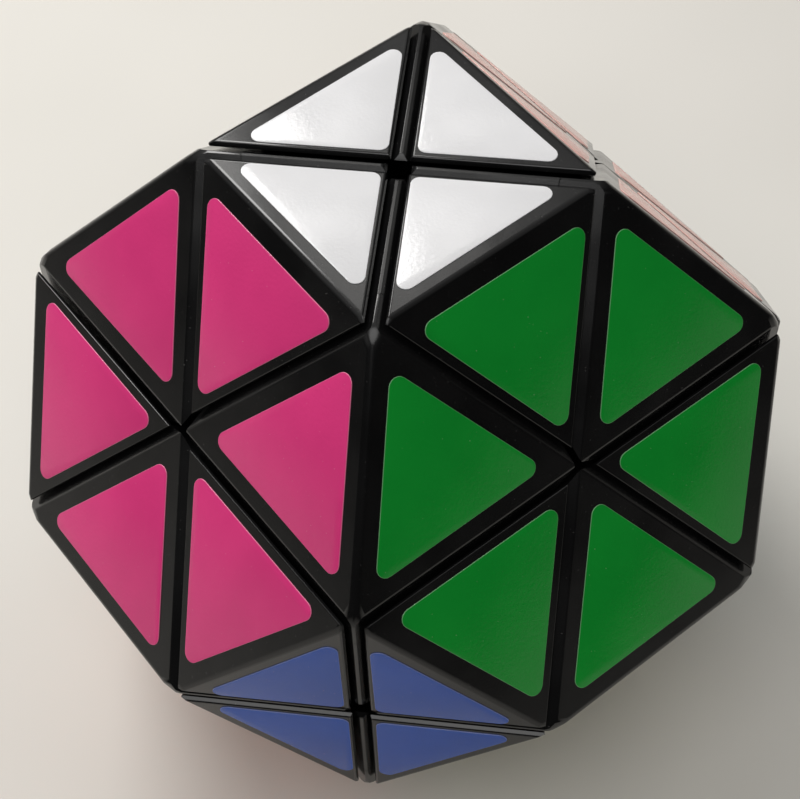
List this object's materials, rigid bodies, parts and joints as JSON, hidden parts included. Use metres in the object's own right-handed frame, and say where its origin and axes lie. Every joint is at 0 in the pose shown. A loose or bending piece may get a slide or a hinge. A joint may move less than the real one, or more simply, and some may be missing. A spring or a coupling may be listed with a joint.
{
  "type": "twisty puzzle",
  "caption": "Edge-turning twisty puzzle shaped as a truncated octahedron, with edge pieces screwed to an armed core and petals held between them, resting on a square face.",
  "frame": {"origin": "centre of the core, where all turning axes meet", "axes": "+X, +Y and +Z each point at the middle of a square face; the puzzle rests on the -Z square"},
  "size_m": [0.065, 0.065, 0.065],
  "materials": {
    "black_abs": "moulded black plastic, semi-gloss",
    "white_nylon": "moulded natural nylon, hidden",
    "zinc_steel": "zinc-plated steel, hidden"
  },
  "bodies": {
    "core": {"core": "white_nylon", "screw_ur": "zinc_steel", "screw_dr": "zinc_steel", "screw_ul": "zinc_steel", "screw_dl": "zinc_steel", "screw_ub": "zinc_steel", "screw_db": "zinc_steel", "screw_uf": "zinc_steel", "screw_df": "zinc_steel", "screw_br": "zinc_steel", "screw_fr": "zinc_steel", "screw_bl": "zinc_steel", "screw_fl": "zinc_steel", "edge_br": "black_abs", "edge_fr": "black_abs", "edge_bl": "black_abs", "edge_fl": "black_abs"},
    "layer_ur": {"edge_base_ur": "black_abs", "edge_cover_ur": "black_abs", "petal_ubr_r": "black_abs", "petal_ufr_r": "black_abs"},
    "layer_dr": {"edge_base_dr": "black_abs", "edge_cover_dr": "black_abs", "petal_dbr_r": "black_abs", "petal_dfr_r": "black_abs"},
    "layer_ul": {"edge_base_ul": "black_abs", "edge_cover_ul": "black_abs", "petal_ubl_l": "black_abs", "petal_ufl_l": "black_abs"},
    "layer_dl": {"edge_base_dl": "black_abs", "edge_cover_dl": "black_abs", "petal_dbl_l": "black_abs", "petal_dfl_l": "black_abs"},
    "layer_ub": {"edge_base_ub": "black_abs", "edge_cover_ub": "black_abs", "petal_ubr_b": "black_abs", "petal_ubl_b": "black_abs"},
    "layer_db": {"edge_base_db": "black_abs", "edge_cover_db": "black_abs", "petal_dbr_b": "black_abs", "petal_dbl_b": "black_abs"},
    "layer_uf": {"edge_base_uf": "black_abs", "edge_cover_uf": "black_abs", "petal_ufr_f": "black_abs", "petal_ufl_f": "black_abs"},
    "layer_df": {"edge_base_df": "black_abs", "edge_cover_df": "black_abs", "petal_dfr_f": "black_abs", "petal_dfl_f": "black_abs"},
    "petal_ubr_u": {"petal_ubr_u": "black_abs"},
    "petal_dbr_d": {"petal_dbr_d": "black_abs"},
    "petal_ufr_u": {"petal_ufr_u": "black_abs"},
    "petal_dfr_d": {"petal_dfr_d": "black_abs"},
    "petal_ubl_u": {"petal_ubl_u": "black_abs"},
    "petal_dbl_d": {"petal_dbl_d": "black_abs"},
    "petal_ufl_u": {"petal_ufl_u": "black_abs"},
    "petal_dfl_d": {"petal_dfl_d": "black_abs"}
  },
  "joints": [
    {"name": "turn_ur", "type": "hinge", "parent": "core", "child": "layer_ur", "pos_m": [0, 0, 0], "axis": [0.7071, 0, 0.7071], "range_deg": [0, 180]},
    {"name": "turn_dr", "type": "hinge", "parent": "core", "child": "layer_dr", "pos_m": [0, 0, 0], "axis": [0.7071, 0, -0.7071], "range_deg": [0, 180]},
    {"name": "turn_ul", "type": "hinge", "parent": "core", "child": "layer_ul", "pos_m": [0, 0, 0], "axis": [-0.7071, 0, 0.7071], "range_deg": [0, 180]},
    {"name": "turn_dl", "type": "hinge", "parent": "core", "child": "layer_dl", "pos_m": [0, 0, 0], "axis": [-0.7071, 0, -0.7071], "range_deg": [0, 180]},
    {"name": "turn_ub", "type": "hinge", "parent": "core", "child": "layer_ub", "pos_m": [0, 0, 0], "axis": [0, 0.7071, 0.7071], "range_deg": [-180, 0]},
    {"name": "turn_db", "type": "hinge", "parent": "core", "child": "layer_db", "pos_m": [0, 0, 0], "axis": [0, 0.7071, -0.7071], "range_deg": [-180, 0]},
    {"name": "turn_uf", "type": "hinge", "parent": "core", "child": "layer_uf", "pos_m": [0, 0, 0], "axis": [0, -0.7071, 0.7071], "range_deg": [-180, 0]},
    {"name": "turn_df", "type": "hinge", "parent": "core", "child": "layer_df", "pos_m": [0, 0, 0], "axis": [0, -0.7071, -0.7071], "range_deg": [-180, 0]},
    {"name": "carry_ubr_u", "type": "hinge", "parent": "layer_ur", "child": "petal_ubr_u", "pos_m": [0, 0, 0], "axis": [0, 0.7071, 0.7071], "range_deg": [-180, 0]},
    {"name": "carry_dbr_d", "type": "hinge", "parent": "layer_dr", "child": "petal_dbr_d", "pos_m": [0, 0, 0], "axis": [0, 0.7071, -0.7071], "range_deg": [-180, 0]},
    {"name": "carry_ufr_u", "type": "hinge", "parent": "layer_ur", "child": "petal_ufr_u", "pos_m": [0, 0, 0], "axis": [0, -0.7071, 0.7071], "range_deg": [-180, 0]},
    {"name": "carry_dfr_d", "type": "hinge", "parent": "layer_dr", "child": "petal_dfr_d", "pos_m": [0, 0, 0], "axis": [0, -0.7071, -0.7071], "range_deg": [-180, 0]},
    {"name": "carry_ubl_u", "type": "hinge", "parent": "layer_ul", "child": "petal_ubl_u", "pos_m": [0, 0, 0], "axis": [0, 0.7071, 0.7071], "range_deg": [-180, 0]},
    {"name": "carry_dbl_d", "type": "hinge", "parent": "layer_dl", "child": "petal_dbl_d", "pos_m": [0, 0, 0], "axis": [0, 0.7071, -0.7071], "range_deg": [-180, 0]},
    {"name": "carry_ufl_u", "type": "hinge", "parent": "layer_ul", "child": "petal_ufl_u", "pos_m": [0, 0, 0], "axis": [0, -0.7071, 0.7071], "range_deg": [-180, 0]},
    {"name": "carry_dfl_d", "type": "hinge", "parent": "layer_dl", "child": "petal_dfl_d", "pos_m": [0, 0, 0], "axis": [0, -0.7071, -0.7071], "range_deg": [-180, 0]}
  ],
  "couplings": [
    {"joint": "carry_ubr_u", "follows": "turn_ub", "ratio": 1},
    {"joint": "carry_dbr_d", "follows": "turn_db", "ratio": 1},
    {"joint": "carry_ufr_u", "follows": "turn_uf", "ratio": 1},
    {"joint": "carry_dfr_d", "follows": "turn_df", "ratio": 1},
    {"joint": "carry_ubl_u", "follows": "turn_ub", "ratio": 1},
    {"joint": "carry_dbl_d", "follows": "turn_db", "ratio": 1},
    {"joint": "carry_ufl_u", "follows": "turn_uf", "ratio": 1},
    {"joint": "carry_dfl_d", "follows": "turn_df", "ratio": 1}
  ]
}
